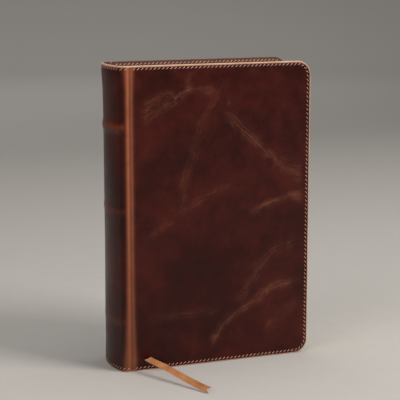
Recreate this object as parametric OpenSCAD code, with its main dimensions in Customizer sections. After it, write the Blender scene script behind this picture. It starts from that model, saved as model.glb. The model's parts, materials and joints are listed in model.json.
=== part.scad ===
// Bible in a stitched leather cover, standing closed on its tail edges.
// X runs from the spine to the fore edge, the front cover faces -Y, and Z is up.
// The origin is the middle of the footprint, on the surface that the book stands on.

/* [Cover] */
// Height of the covers, from tail to head
book_h = 228; // [180:1:280]
// Width of a cover, from the joint groove to the fore edge
cover_w = 144; // [110:1:190]
// Thickness of the closed book, over both covers
book_t = 46; // [36:1:60]
// Radius of the two fore-edge corners of a cover
corner_r = 11; // [6:0.5:16]
// Thickness of the outer leather
leather_t = 1.2; // [0.8:0.1:1.6]
// Thickness of the card board inside each cover
board_t = 1.2; // [0.8:0.1:1.6]
// Thickness of the lining leather
lining_t = 0.8; // [0.5:0.1:1]
// Width of the margin where leather and lining are sewn together
seam_w = 6; // [4.5:0.5:8]

/* [Spine] */
// Distance that the spine stands out past the joint grooves
spine_rise = 10.5; // [10:0.5:16]
// Radius of the shoulders where the spine turns into the covers
shoulder_r = 6; // [4:0.5:8]
// Thickness of the flexible card inside the spine
stiffener_t = 0.6; // [0.4:0.1:0.8]
// Height that a raised band stands out from the spine
band_h = 1.2; // [0.8:0.1:2]
// Width of a raised band, measured up the spine
band_w = 5; // [4:0.5:8]
// Width of the gap in which the joint leather folds
joint_gap = 1.2; // [0.8:0.1:2]
// Depth of the groove along the joint
groove_d = 0.8; // [0.5:0.1:1.2]

/* [Stitching] */
// Distance from the edge of the cover to the seam
stitch_inset = 2.4; // [2:0.1:3.2]
// Thickness of the sewing thread in the seam
seam_thread_d = 0.8; // [0.5:0.1:1]
// Height that the thread stands out from the leather
thread_proud = 0.2; // [0.1:0.05:0.3]

/* [Pages] */
// Distance that the covers stand out past the pages
page_square = 3.5; // [2.5:0.5:5]
// Number of gatherings that the pages are modelled in
gatherings = 16; // [8:1:20]
// Radius of the fore-edge corners of the pages
page_corner_r = 9; // [5:0.5:14]
// Thickness of a flyleaf
flyleaf_t = 0.25; // [0.2:0.05:0.3]
// Thickness of the title leaf and of the map leaf
leaf_t = 0.15; // [0.1:0.05:0.2]
// Clearance between a leaf and what lies on each side of it
leaf_gap = 0.15; // [0.1:0.05:0.2]
// Number of sewing stations along the fold
stations = 6; // [4:1:8]
// Diameter of the sewing thread in the folds
sewing_d = 0.7; // [0.5:0.1:0.9]

/* [Spine linings] */
// Thickness of the open cloth glued over the folds
mull_t = 0.3; // [0.2:0.05:0.4]
// Distance that the cloth reaches onto the first and the last page
mull_flap = 18; // [12:1:30]
// Thickness of the paper that lines the cloth
liner_t = 0.3; // [0.2:0.05:0.4]
// Thickness of the flattened paper tube between the pages and the cover
hollow_t = 0.4; // [0.3:0.05:0.5]
// Diameter of the bead of a headband
headband_d = 2.2; // [1.6:0.1:3]

/* [Ribbon marker] */
// Width of the ribbon
ribbon_w = 6; // [4:0.5:8]
// Thickness of the ribbon
ribbon_t = 0.3; // [0.2:0.05:0.4]
// Number of gatherings in front of the ribbon
ribbon_after = 1; // [1:1:7]

/* [Hidden] */
$fn = 96;

// A little past a face, so that a cut goes right through it.
past = 1;
// Anything longer than the book.
far = 2 * (book_h + cover_w);
// The sharpest that a shoulder gets on the innermost layers.
least_r = 0.2;

// Leather colours, for the plain view.
brown = [0.27, 0.12, 0.08];
tan_edge = [0.62, 0.36, 0.2];
thread_cream = [0.85, 0.72, 0.6];
paper = [0.93, 0.9, 0.83];
card = [0.7, 0.64, 0.54];
ribbon_orange = [0.83, 0.5, 0.25];

// Places along X.
total_x = cover_w + spine_rise + band_h;
x_fore = total_x / 2;
x_groove = x_fore - cover_w;
x_spine = x_groove - spine_rise;

// The spine is one large arc, with a smaller arc at each shoulder that runs into the cover.
// The shoulder arc starts shoulder_lead before the groove.
shoulder_lead = 1.8;
x_shoulder = x_groove - shoulder_lead;
y_shoulder = book_t / 2 - shoulder_r;
shoulder_run = x_shoulder - x_spine;
spine_r = (pow(shoulder_run, 2) + pow(y_shoulder, 2) - pow(shoulder_r, 2))
    / (2 * (shoulder_run - shoulder_r));
x_arc = x_spine + spine_r;
arc_half = asin(y_shoulder / (spine_r - shoulder_r));

// Depths below the outer surface of the cover.
field_t = leather_t + board_t + lining_t;
edge_t = leather_t + lining_t;
spine_field_t = leather_t + stiffener_t + lining_t;
leaf_stack = flyleaf_t + leaf_t + 3 * leaf_gap;
block_inset = field_t + leaf_stack + mull_t;

// Hinge axes, just outside the leather, where it folds when a cover lies open.
hinge_out = 0.4;
y_hinge = book_t / 2 + hinge_out;

// The bands' places up the spine, as shares of the height.
band_places = [0.8, 0.53, 0.165];
// The bands stop short of the shoulders by band_end_angle, and lie on the inside of the leather.
band_end_angle = 3;
// The leather drawn over them runs out onto the shoulders by this angle.
band_run_out = 2;
band_seat_r = spine_r - leather_t;

// The block of pages.
block_r = spine_r - block_inset;
block_half_t = book_t / 2 - block_inset;
page_h = book_h - 2 * page_square;
ribbon_gap = ribbon_t + 0.1;
gathering_t = (2 * block_half_t - ribbon_gap) / gatherings;
outer_fold_x = x_arc - sqrt(pow(block_r, 2) - pow(block_half_t, 2));
page_w = x_fore - page_square - outer_fold_x;

// A leaf turns about its own edge, just past the end of the cloth's flat fold.
x_leaf = x_groove + 1.5;

// The notch in the tail edge of the front cover that the ribbon goes out through.
ribbon_x = -41;
notch_w = ribbon_w + 1.5;
notch_h = ribbon_t + 0.3;

// The ribbon leaves the pages straight down, then follows points of its own, set from the
// front cover's face: each entry is a point and the direction across the ribbon there.
face_y = -book_t / 2;
ribbon_y = gathering_y(ribbon_after) + gathering_t / 2 + ribbon_gap / 2;
ribbon_route = [
    [[ribbon_x, ribbon_y, page_square], [1, 0, 0]],
    [[ribbon_x, ribbon_y, page_square - 0.4], [1, 0, 0]],
    [[-41, face_y + 5.6, 1.8], [1, 0, 0]],
    [[-41, face_y + 4, 0.9], [1, 0, 0]],
    [[-41, face_y + 2, 0.3], [1, 0, 0]],
    [[-41, face_y - 1, 0.35], [1, 0, 0]],
    [[-41.1, face_y - 2.8, 1], [0.95, 0, 0.1]],
    [[-42.5, face_y - 3.6, 2.6], [0.7, -0.3, 0.5]],
    [[-46, face_y - 3.4, 4.2], [0.5, -0.45, 0.75]],
    [[-49.9, face_y - 2.8, 6.2], [0.5, -0.45, 0.75]],
    [[-53.4, face_y - 2.4, 8.4], [0.75, -0.3, 0.5]],
    [[-55.3, face_y - 3, 9.7], [0.97, 0, 0.26]],
    [[-55.4, face_y - 5, 10], [0.97, 0, 0.26]],
    [[-54.9, face_y - 9.4, 10.4], [0.95, 0.1, 0.3]],
    [[-53.2, face_y - 14.4, 10], [0.9, 0.2, 0.38]],
    [[-50.1, face_y - 22.7, 9], [0.86, 0.22, 0.46]],
    [[-46.3, face_y - 31.9, 7.6], [0.83, 0.2, 0.52]],
    [[-42.6, face_y - 41.1, 6], [0.8, 0.18, 0.58]],
    [[-38.7, face_y - 51.2, 4.4], [0.74, 0.14, 0.66]],
    [[-34.9, face_y - 60.4, 3.1], [0.68, 0.1, 0.72]],
    [[-31.6, face_y - 68.6, 2.5], [0.62, 0.08, 0.78]]
];

function gathering_name(i) = str("gathering_", i < 10 ? "0" : "", i);
// Middle of gathering i through the thickness; those past the ribbon make room for it.
function gathering_y(i) = -block_half_t + (i - 0.5) * gathering_t + (i > ribbon_after ? ribbon_gap : 0);
// How far the rounding of the spine moves a leaf at y towards the fore edge.
function rounding_x(y) = x_arc - sqrt(pow(block_r, 2) - pow(y, 2));
function unit(v) = v / norm(v);

// The closed book's section, seen from above: everything at least inset inside the cover,
// up to x_end on the fore-edge side.
module book_section(inset, x_end) {
    r_big = spine_r - inset;
    r_small = max(shoulder_r - inset, least_r);
    half = book_t / 2 - inset;
    reach = 2 * spine_r;
    intersection() {
        union() {
            intersection() {
                translate([x_arc, 0]) circle(r = r_big);
                translate([x_arc, 0]) polygon([
                    [0, 0],
                    [-reach * cos(arc_half), -reach * sin(arc_half)],
                    [-reach, 0],
                    [-reach * cos(arc_half), reach * sin(arc_half)]
                ]);
            }
            for (side = [-1, 1]) translate([x_shoulder, side * y_shoulder]) circle(r = r_small);
            translate([x_shoulder, -half]) square([far, 2 * half]);
            polygon([[x_shoulder, -y_shoulder], [x_shoulder, y_shoulder], [x_arc, 0]]);
        }
        translate([x_spine - past, -half]) square([x_end - x_spine + past, 2 * half]);
    }
}

// A layer that wraps the spine, from depth outer to depth inner, between z_low and z_high.
module spine_layer(outer, inner, x_end, z_low, z_high) {
    translate([0, 0, z_low]) linear_extrude(z_high - z_low) difference() {
        book_section(outer, x_end);
        book_section(inner, x_end + past);
    }
}

// Outline of a cover, as seen from the front, drawn in by inset; the hinge side has square corners.
module cover_outline(inset, hinge_inset) {
    r = corner_r - inset;
    low = inset;
    high = book_h - inset;
    left = x_groove + joint_gap / 2 + hinge_inset;
    right = x_fore - inset;
    translate([left, low]) square([right - r - left, high - low]);
    translate([left, low + r]) square([right - left, high - low - 2 * r]);
    for (z = [low + r, high - r]) translate([right - r, z]) circle(r = r);
}

// A sheet of the front cover, from depth outer to depth inner; side 1 is the back cover.
module cover_sheet(side, outer, inner, inset, hinge_inset) {
    y = side < 0 ? -book_t / 2 + outer : book_t / 2 - inner;
    translate([0, y + (inner - outer), 0]) rotate([90, 0, 0])
        linear_extrude(inner - outer) cover_outline(inset, hinge_inset);
}

// The seam's path along a cover: head, fore edge and tail, of the given width.
module seam_band(side, depth, width) {
    difference() {
        cover_sheet(side, -thread_proud, depth, stitch_inset - width / 2, 0);
        cover_sheet(side, -thread_proud - past, depth + past, stitch_inset + width / 2, -past);
    }
}

module ribbon_notch() {
    translate([ribbon_x - notch_w / 2, -book_t / 2 - past, -past])
        cube([notch_w, field_t + 2 * past, past + notch_h]);
}

module cover_leather(side) {
    difference() {
        cover_sheet(side, 0, leather_t, 0, 0);
        seam_band(side, seam_thread_d - thread_proud, seam_thread_d);
        if (side < 0) ribbon_notch();
    }
}

module board(side) {
    cover_sheet(side, leather_t, leather_t + board_t, seam_w, seam_w / 2);
}

// The lining lies on the leather along the seam and rises over the board.
module lining(side) {
    difference() {
        union() {
            cover_sheet(side, leather_t, edge_t, 0, 0);
            cover_sheet(side, leather_t, field_t, seam_w - lining_t, seam_w / 2 - lining_t);
        }
        board(side);
        if (side < 0) ribbon_notch();
    }
}

module stitching(side) {
    seam_band(side, seam_thread_d - thread_proud, seam_thread_d);
}

// A ring segment around the spine: the profile is drawn with X as the distance from the arc's centre.
module spine_ring(half_angle) {
    translate([x_arc, 0, 0]) rotate([0, 0, 180 - half_angle])
        rotate_extrude(angle = 2 * half_angle) children();
}

// Profile of a raised band: a round-topped strip that starts at foot_r from the arc's centre;
// cover is the thickness of leather drawn over it.
module band_profile(z, cover, foot_r) {
    half_w = band_w / 2 + cover;
    rise = band_h + cover;
    top_r = band_seat_r + rise;
    crown_r = (pow(half_w, 2) + pow(rise, 2)) / (2 * rise);
    intersection() {
        translate([foot_r, z - half_w]) square([top_r - foot_r, 2 * half_w]);
        translate([top_r - crown_r, z]) circle(r = crown_r);
    }
}

module raised_band(share) {
    color(card) spine_ring(arc_half - band_end_angle) band_profile(share * book_h, 0, band_seat_r);
}

// The seam across the head and the tail of the spine.
module spine_seams(width) {
    for (z = [stitch_inset, book_h - stitch_inset])
        spine_layer(
            -thread_proud, seam_thread_d - thread_proud,
            x_groove - joint_gap / 2, z - width / 2, z + width / 2
        );
}

// The leather runs over the bands, and past their ends onto the shoulders.
module spine_leather() {
    color(brown) difference() {
        union() {
            spine_layer(0, leather_t, x_groove - joint_gap / 2, 0, book_h);
            for (share = band_places)
                spine_ring(arc_half + band_run_out)
                    band_profile(share * book_h, leather_t, spine_r - leather_t / 2);
        }
        for (share = band_places)
            spine_ring(arc_half - band_end_angle)
                band_profile(share * book_h, 0, band_seat_r - past);
        spine_seams(seam_thread_d);
    }
}

module spine_stitching() {
    color(thread_cream) spine_seams(seam_thread_d);
}

module spine_stiffener() {
    color(card) spine_layer(
        leather_t, leather_t + stiffener_t, x_shoulder, seam_w, book_h - seam_w
    );
}

module spine_lining() {
    x_end = x_groove - joint_gap / 2;
    color(tan_edge) difference() {
        union() {
            spine_layer(leather_t, edge_t, x_end, 0, book_h);
            spine_layer(
                leather_t, spine_field_t, x_end, seam_w - lining_t, book_h - seam_w + lining_t
            );
        }
        spine_layer(leather_t, leather_t + stiffener_t, x_shoulder, seam_w, book_h - seam_w);
    }
}

// The strip of leather and lining that folds along the bottom of the joint groove.
module joint_leather(side) {
    y = side < 0 ? -book_t / 2 + groove_d : book_t / 2 - groove_d - edge_t;
    color(tan_edge) translate([x_groove - joint_gap / 2, y, 0]) cube([joint_gap, edge_t, book_h]);
}

// Depths of the layers between the cover and the folds, from the pages outwards.
mull_depth = block_inset - mull_t;
liner_depth = mull_depth - liner_t;
hollow_depth = liner_depth - hollow_t;

// A lining of the folds, on the arc of the spine alone.
module arc_layer(outer, inner) {
    spine_ring(arc_half) translate([spine_r - inner, page_square]) square([inner - outer, page_h]);
}

module spine_hollow() {
    color(card) arc_layer(hollow_depth, liner_depth);
}

module spine_liner() {
    color(card) arc_layer(liner_depth, mull_depth);
}

module mull() {
    color(paper) spine_layer(
        mull_depth, block_inset, x_shoulder + mull_flap, page_square + seam_w, book_h - page_square - seam_w
    );
}

// Place of a sewing station up the fold.
function station_z(i) = page_square + page_h * (i + 0.5) / stations;

// The thread lies in saw cuts across the folds, against the cloth.
module sewing_thread() {
    color(thread_cream) for (i = [0:stations - 1])
        spine_ring(arc_half) translate([block_r - sewing_d / 2, station_z(i)]) circle(d = sewing_d);
}

module sewing_cuts() {
    for (i = [0:stations - 1])
        spine_ring(arc_half) translate([block_r - sewing_d, station_z(i) - sewing_d / 2])
            square([sewing_d + past, sewing_d]);
}

// Outline of a leaf, from the fold at x_left to the fore edge at x_right.
module leaf_outline(x_left, x_right) {
    low = page_square;
    high = book_h - page_square;
    r = page_corner_r;
    translate([x_left, low]) square([x_right - r - x_left, high - low]);
    translate([x_left, low + r]) square([x_right - x_left, high - low - 2 * r]);
    for (z = [low + r, high - r]) translate([x_right - r, z]) circle(r = r);
}

// One gathering of folded leaves, cut to the rounded spine.
module gathering(i) {
    y = gathering_y(i);
    color(paper) difference() {
        intersection() {
            translate([0, y + gathering_t / 2, 0]) rotate([90, 0, 0])
                linear_extrude(gathering_t) leaf_outline(x_spine, rounding_x(y) + page_w);
            linear_extrude(book_h) book_section(block_inset, far);
        }
        sewing_cuts();
    }
}

// A single leaf at the given depth below the outer surface of a cover.
module leaf(side, depth, thick) {
    y = side < 0 ? -book_t / 2 + depth + thick : book_t / 2 - depth;
    color(paper) translate([0, y, 0]) rotate([90, 0, 0])
        linear_extrude(thick) leaf_outline(x_leaf, x_fore - page_square);
}

flyleaf_depth = field_t + leaf_gap;
inner_leaf_depth = flyleaf_depth + flyleaf_t + leaf_gap;

// A beaded band glued to the cloth's liner, standing over the end of the pages.
module end_band(z_page, up) {
    bead_r = headband_d / 2;
    seat_r = block_r - bead_r;
    z_skirt = up > 0 ? z_page : z_page - bead_r;
    color(thread_cream) spine_ring(arc_half) {
        translate([seat_r, z_page + up * bead_r]) circle(r = bead_r);
        translate([block_r - bead_r / 2, z_skirt]) square([bead_r / 2, bead_r]);
    }
}

// The ribbon between the pages, and over their head to the spine.
module ribbon_marker() {
    head = book_h - page_square;
    x_glued = x_arc - block_r + headband_d + ribbon_w / 2;
    run = [x_glued - ribbon_x, -ribbon_y];
    color(ribbon_orange) {
        translate([ribbon_x - ribbon_w / 2, ribbon_y - ribbon_t / 2, page_square])
            cube([ribbon_w, ribbon_t, page_h + ribbon_t]);
        translate([ribbon_x, ribbon_y, head]) rotate([0, 0, atan2(run[1], run[0])])
            translate([0, -ribbon_w / 2, 0]) cube([norm(run), ribbon_w, ribbon_t]);
    }
}

// A flat tube of eight sides along the route, drawn from its points and cross directions.
module ribbon_tail() {
    n = len(ribbon_route);
    a = ribbon_w / 2;
    b = ribbon_t / 2;
    ring = [[a, 0], [0.9 * a, b], [0, b], [-0.9 * a, b], [-a, 0], [-0.9 * a, -b], [0, -b], [0.9 * a, -b]];
    sides = len(ring);
    along = [
        for (i = [0:n - 1])
            unit(ribbon_route[min(i + 1, n - 1)][0] - ribbon_route[max(i - 1, 0)][0])
    ];
    points = [
        for (i = [0:n - 1])
            let (
                raw = ribbon_route[i][1],
                across = unit(raw - (raw * along[i]) * along[i]),
                thick = cross(along[i], across)
            )
            for (p = ring) ribbon_route[i][0] + p[0] * across + p[1] * thick
    ];
    walls = [
        for (i = [0:n - 2])
            for (j = [0:sides - 1])
                let (
                    k = (j + 1) % sides,
                    near = i * sides,
                    next = near + sides
                )
                each [[near + j, near + k, next + k], [near + j, next + k, next + j]]
    ];
    end = (n - 1) * sides;
    caps = [
        for (j = [1:sides - 2])
            each [[0, j + 1, j], [end, end + j, end + j + 1]]
    ];
    color(ribbon_orange) polyhedron(points = points, faces = concat(walls, caps));
}

module front_cover_leather() { color(brown) cover_leather(-1); }
module front_board() { color(card) board(-1); }
module front_lining() { color(tan_edge) lining(-1); }
module front_stitching() { color(thread_cream) stitching(-1); }
module back_cover_leather() { color(brown) cover_leather(1); }
module back_board() { color(card) board(1); }
module back_lining() { color(tan_edge) lining(1); }
module back_stitching() { color(thread_cream) stitching(1); }
module headband() { end_band(book_h - page_square, 1); }
module tailband() { end_band(page_square, -1); }

front_cover_leather();
front_board();
front_lining();
front_stitching();
back_cover_leather();
back_board();
back_lining();
back_stitching();
spine_leather();
spine_stiffener();
spine_lining();
spine_stitching();
raised_band(band_places[0]);  // upper_band
raised_band(band_places[1]);  // middle_band
raised_band(band_places[2]);  // lower_band
joint_leather(-1);  // front_joint_leather
joint_leather(1);  // back_joint_leather
spine_hollow();
spine_liner();
mull();
sewing_thread();
headband();
tailband();
leaf(-1, flyleaf_depth, flyleaf_t);  // front_flyleaf
leaf(-1, inner_leaf_depth, leaf_t);  // title_leaf
leaf(1, inner_leaf_depth, leaf_t);  // map_leaf
leaf(1, flyleaf_depth, flyleaf_t);  // back_flyleaf
ribbon_marker();
ribbon_tail();
for (i = [1:gatherings])
    gathering(i);
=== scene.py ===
import json
import math

import bpy
import numpy as np
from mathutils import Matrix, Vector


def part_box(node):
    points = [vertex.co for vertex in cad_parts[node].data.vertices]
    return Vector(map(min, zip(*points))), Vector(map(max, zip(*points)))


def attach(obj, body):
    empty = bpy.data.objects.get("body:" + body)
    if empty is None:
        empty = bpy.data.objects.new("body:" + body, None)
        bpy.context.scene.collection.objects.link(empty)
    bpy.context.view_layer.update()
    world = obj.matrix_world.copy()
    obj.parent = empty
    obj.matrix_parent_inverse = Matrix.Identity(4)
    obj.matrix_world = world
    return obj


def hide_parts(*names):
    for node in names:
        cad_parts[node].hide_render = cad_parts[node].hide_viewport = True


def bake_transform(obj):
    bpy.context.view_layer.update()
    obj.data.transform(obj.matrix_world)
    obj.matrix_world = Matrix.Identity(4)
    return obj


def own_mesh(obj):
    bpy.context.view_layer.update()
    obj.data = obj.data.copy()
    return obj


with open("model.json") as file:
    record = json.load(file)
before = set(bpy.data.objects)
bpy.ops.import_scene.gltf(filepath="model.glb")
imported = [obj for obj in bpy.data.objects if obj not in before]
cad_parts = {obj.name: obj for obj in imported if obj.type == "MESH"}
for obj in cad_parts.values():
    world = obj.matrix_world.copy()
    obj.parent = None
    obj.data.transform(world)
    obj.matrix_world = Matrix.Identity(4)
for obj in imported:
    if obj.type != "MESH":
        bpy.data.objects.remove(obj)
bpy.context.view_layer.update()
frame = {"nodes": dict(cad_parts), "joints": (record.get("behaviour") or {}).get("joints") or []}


# Measures of the book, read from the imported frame, in millimetres.

def boxOf(node):  # lowest and highest corner of a CAD node
    low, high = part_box(node)
    return np.array(low, float) * 1000, np.array(high, float) * 1000


joints = {joint["name"]: joint for joint in frame["joints"]}
coverLow, coverHigh = boxOf("front_cover_leather")
liningLow, liningHigh = boxOf("front_lining")
grooveX = joints["front_cover_hinge"]["pos_m"][0] * 1000
foreX, bookH, faceY = coverHigh[0], coverHigh[2], coverLow[1]
spineX = boxOf("upper_band")[0][0]  # the raised bands lie just as deep as the leather is thick
leatherT = coverHigh[1] - coverLow[1]

wrap = {  # how the leather turns round the spine
    "shoulderR": 6.0,
    "shoulderLead": 1.8,  # the shoulder starts this far before the groove
    "cornerR": 11.0,
    "rimR": 0.5,  # rounding of the cut and burnished edge
}
shoulderR, roundR = wrap["shoulderR"], wrap["cornerR"]
shoulderX = grooveX - wrap["shoulderLead"]
shoulderY = -faceY - shoulderR
shoulderRun = shoulderX - spineX
spineR = (shoulderRun ** 2 + shoulderY ** 2 - shoulderR ** 2) / (2 * (shoulderRun - shoulderR))
arcX = spineX + spineR
arcHalf = math.asin(shoulderY / (spineR - shoulderR))
shoulderArc = shoulderR * (math.pi / 2 - arcHalf)
halfWrap = wrap["shoulderLead"] + shoulderArc + spineR * arcHalf  # from a groove to the middle of the spine
coverTravel = foreX - grooveX


# Small helpers.

def asLinear(hexColour):  # sRGB hex to the linear colour that the shaders take
    srgb = np.array([int(hexColour[i:i + 2], 16) for i in (1, 3, 5)]) / 255
    rgb = np.where(srgb <= 0.04045, srgb / 12.92, ((srgb + 0.055) / 1.055) ** 2.4)
    return (*rgb.tolist(), 1.0)


def addNode(tree, kind, inputs=None, out=0, stops=None, **settings):  # one node with its settings and links
    node = tree.nodes.new("ShaderNode" + kind)
    for name, value in settings.items():
        setattr(node, name, value)
    for key, value in (inputs or {}).items():
        if isinstance(value, bpy.types.NodeSocket):
            tree.links.new(value, node.inputs[key])
        else:
            node.inputs[key].default_value = value
    if stops:
        ramp = node.color_ramp.elements
        ramp[0].position, ramp[-1].position = stops[0][0], stops[-1][0]
        for place, colour in stops[1:-1]:
            ramp.new(place)
        for element, (place, colour) in zip(ramp, stops):
            element.color = asLinear(colour)
    return node.outputs[out]


def mathNode(tree, operation, *values, clamp=False):
    return addNode(tree, "Math", dict(enumerate(values)), operation=operation, use_clamp=clamp)


def noiseNode(tree, place, scale, detail, roughness=0.5, distortion=0.0):
    return addNode(tree, "TexNoise", {"Vector": place, "Scale": scale, "Detail": detail,
        "Roughness": roughness,
                                      "Distortion": distortion})


def rangeNode(tree, value, given, wanted):  # carries the given range over to the wanted one
    return addNode(tree, "MapRange", {"Value": value, "From Min": given[0], "From Max": given[1],
                                      "To Min": wanted[0], "To Max": wanted[1]})


def mixNode(tree, share, first, second):
    return addNode(tree, "Mix", {0: share, 6: first, 7: second}, out=2, data_type="RGBA")


def dress(tree, shader, colour, height, distance, strength):  # colour and bump on the shader
    bump = addNode(tree, "Bump", {"Height": height, "Distance": distance, "Strength": strength})
    tree.links.new(colour, shader.inputs["Base Color"])
    tree.links.new(bump, shader.inputs["Normal"])


def newFinish(name, fixed):  # a material with its shader's even values set on the shader's own sockets
    finish = bpy.data.materials.new(name)
    finish.use_nodes = True
    tree = finish.node_tree
    tree.nodes.clear()
    surface = addNode(tree, "BsdfPrincipled", fixed)
    output = tree.nodes.new("ShaderNodeOutputMaterial")
    tree.links.new(surface, output.inputs["Surface"])
    return finish, tree, surface.node


def ease(low, high, value):  # smooth step from 0 at low to 1 at high
    share = np.clip((value - low) / (high - low), 0, 1)
    return share * share * (3 - 2 * share)


def bell(value, middle, width):  # one hump, 1 in the middle
    return np.exp(-((value - middle) / width) ** 2)


def makePiece(name, points, faces, finish, fields=None, sharp=40):
    # points in mm; faces is a list of arrays, one for each number of corners; fields go in as attributes
    mesh = bpy.data.meshes.new(name)
    mesh.from_pydata((np.asarray(points, float) / 1000).tolist(), [],
        [f for part in faces for f in part.tolist()])
    for key, values in (fields or {}).items():
        kind = "FLOAT" if values.ndim == 1 else "FLOAT_VECTOR"
        layer = mesh.attributes.new(key, kind, "POINT")
        layer.data.foreach_set("value" if kind == "FLOAT" else "vector", values.astype(np.float32).ravel())
    mesh.shade_smooth()
    mesh.set_sharp_from_angle(angle=math.radians(sharp))
    mesh.materials.append(finish)
    mesh.validate()
    piece = bpy.data.objects.new(name, mesh)
    bpy.context.scene.collection.objects.link(piece)
    return piece


def gridFaces(rows, columns, wrapColumns=False, first=0):  # quads of a rows x columns grid
    i = np.arange(rows - 1)[:, None]
    j = np.arange(columns if wrapColumns else columns - 1)[None, :]
    k = (j + 1) % columns
    quads = np.stack([i * columns + j, (i + 1) * columns + j, (i + 1) * columns + k, i * columns + k], -1)
    return quads.reshape(-1, 4) + first


def outwards(points, faces):
    # The solid's volume as a sum over fans of triangles: where it comes out negative the faces are turned
    # round.
    volume = 0.0
    for part in faces:
        corner = points[part[:, 0]]
        for k in range(1, part.shape[1] - 1):
            volume += np.einsum("ij,ij->", corner, np.cross(points[part[:, k]], points[part[:, k + 1]]))
    return faces if volume > 0 else [part[:, ::-1] for part in faces]


def closedShell(outer, inner):
    # Two matching grids, u x v x 3, closed into one solid with a wall round their edges.
    rows, columns = outer.shape[:2]
    count = rows * columns
    index = np.arange(count).reshape(rows, columns)
    rim = np.concatenate([index[:, 0], index[-1, 1:], index[-2::-1, -1], index[0, -2:0:-1]])
    nextRim = np.roll(rim, -1)
    top = gridFaces(rows, columns)
    wall = np.stack([rim, rim + count, nextRim + count, nextRim], -1)
    points = np.concatenate([outer.reshape(-1, 3), inner.reshape(-1, 3)])
    return points, outwards(points, [np.concatenate([top, top[:, ::-1] + count, wall])])


# Camera.
viewpoint = {"place": (-0.37275, -0.9395, 0.3055), "down": 10.28, "turn": -21.47, "lens": 121.03}
camera = bpy.data.objects.new("camera", bpy.data.cameras.new("camera"))
camera.data.sensor_width = 36
camera.data.lens = viewpoint["lens"]
camera.location = viewpoint["place"]
camera.rotation_euler = (math.radians(90 - viewpoint["down"]), 0, math.radians(viewpoint["turn"]))
bpy.context.scene.collection.objects.link(camera)
bpy.context.scene.camera = camera
print("camera placed")

# The ribbon: satin, folded out from under the front cover, with its end cut to a swallowtail.

ribbon = {
    "width": 5.0, "thick": 0.3, "notch": 3.6, "across": 13, "steps": 190,
    # The line outside the pages: x, y from the cover's face and z in mm, then the direction across.
    "route": [
        ((-41, 5.6, 1.8), (1, 0, 0)), ((-41, 4, 0.9), (1, 0, 0)), ((-41, 2, 0.3), (1, 0, 0)),
        ((-41, -1, 0.35), (1, 0, 0)), ((-41.1, -2.8, 1), (0.95, 0, 0.1)),
        ((-42.5, -3.6, 2.6), (0.7, -0.3, 0.5)),
        ((-46, -3.4, 4.2), (0.5, -0.45, 0.75)), ((-49.9, -2.8, 6.2), (0.5, -0.45, 0.75)),
        ((-53.4, -2.4, 8.4), (0.75, -0.3, 0.5)), ((-55.3, -3, 9.7), (0.97, 0, 0.26)),
        ((-55.4, -5, 10), (0.97, 0, 0.26)), ((-54.9, -9.4, 10.4), (0.95, 0.1, 0.3)),
        ((-53.2, -14.4, 10), (0.9, 0.2, 0.38)), ((-50.1, -22.7, 9), (0.86, 0.22, 0.46)),
        ((-46.3, -31.9, 7.6), (0.83, 0.2, 0.52)), ((-42.6, -41.1, 6), (0.8, 0.18, 0.58)),
        ((-38.7, -51.2, 4.4), (0.74, 0.14, 0.66)), ((-34.9, -60.4, 3.1), (0.68, 0.1, 0.72)),
        ((-31.6, -68.6, 2.5), (0.62, 0.08, 0.78)),
    ],
}


def satin(name):
    # Woven satin: long floats along the ribbon give a soft silky sheen, with fine cross ribs 0.5 mm apart
    # that are drawn twice as coarse to show, and a firmer, darker selvedge.
    finish, tree, shader = newFinish(name, {"Roughness": 0.42, "Sheen Weight": 0.35, "Sheen Roughness": 0.4})
    lay = addNode(tree, "Attribute", attribute_name="lay", out="Vector")  # mm along and across
    along, across = (addNode(tree, "SeparateXYZ", {0: lay}, out=i) for i in range(2))
    phase = mathNode(tree, "MULTIPLY", along, 2 * math.pi)
    ribs = mathNode(tree, "SINE", phase)
    drawn = addNode(tree, "VectorMath", {0: lay, 1: (0.12, 5.0, 0)}, operation="MULTIPLY")
    floats = noiseNode(tree, drawn, 1.0, 3.0)
    slow = noiseNode(tree, lay, 0.12, 2.0)
    tone = mathNode(tree, "MULTIPLY", floats, 0.5)
    tone = mathNode(tree, "MULTIPLY_ADD", slow, 0.4, tone)
    tone = mathNode(tree, "MULTIPLY_ADD", ribs, 0.035, tone)
    colour = addNode(tree, "ValToRGB", {"Fac": tone}, stops=[(0.3, "#9e5c33"), (0.45, "#bd7a4a"),
        (0.62, "#d39768")])
    rim = mathNode(tree, "ABSOLUTE", across)
    selvedge = rangeNode(tree, rim, (2.55, 2.8), (0.0, 0.45))
    colour = mixNode(tree, selvedge, colour, asLinear("#a9622c"))
    height = mathNode(tree, "MULTIPLY_ADD", ribs, 0.02, floats)
    dress(tree, shader, colour, height, 0.00006, 0.7)
    return finish


satinRibbon = satin("satin ribbon")


def curveThrough(knots, count):
    # Centripetal Catmull-Rom through the knots, at count points an even distance apart.
    knots = np.array(knots, float)
    padded = np.concatenate([2 * knots[:1] - knots[1:2], knots, 2 * knots[-1:] - knots[-2:-1]])
    u = np.linspace(0, 1, 24, endpoint=False)[None, :, None]
    p0, p1, p2, p3 = (padded[i:len(padded) - 3 + i][:, None, :] for i in range(4))
    line = 0.5 * (2 * p1 + (p2 - p0) * u + (2 * p0 - 5 * p1 + 4 * p2 - p3) * u ** 2
        + (3 * p1 - p0 - 3 * p2 + p3) * u ** 3)
    line = np.concatenate([line.reshape(-1, knots.shape[1]), knots[-1:]])
    travel = np.concatenate([[0], np.cumsum(np.linalg.norm(np.diff(line[:, :3], axis=0), axis=1))])
    even = np.linspace(0, travel[-1], count)
    return even, np.stack([np.interp(even, travel, line[:, i]) for i in range(line.shape[1])], -1)


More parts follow.
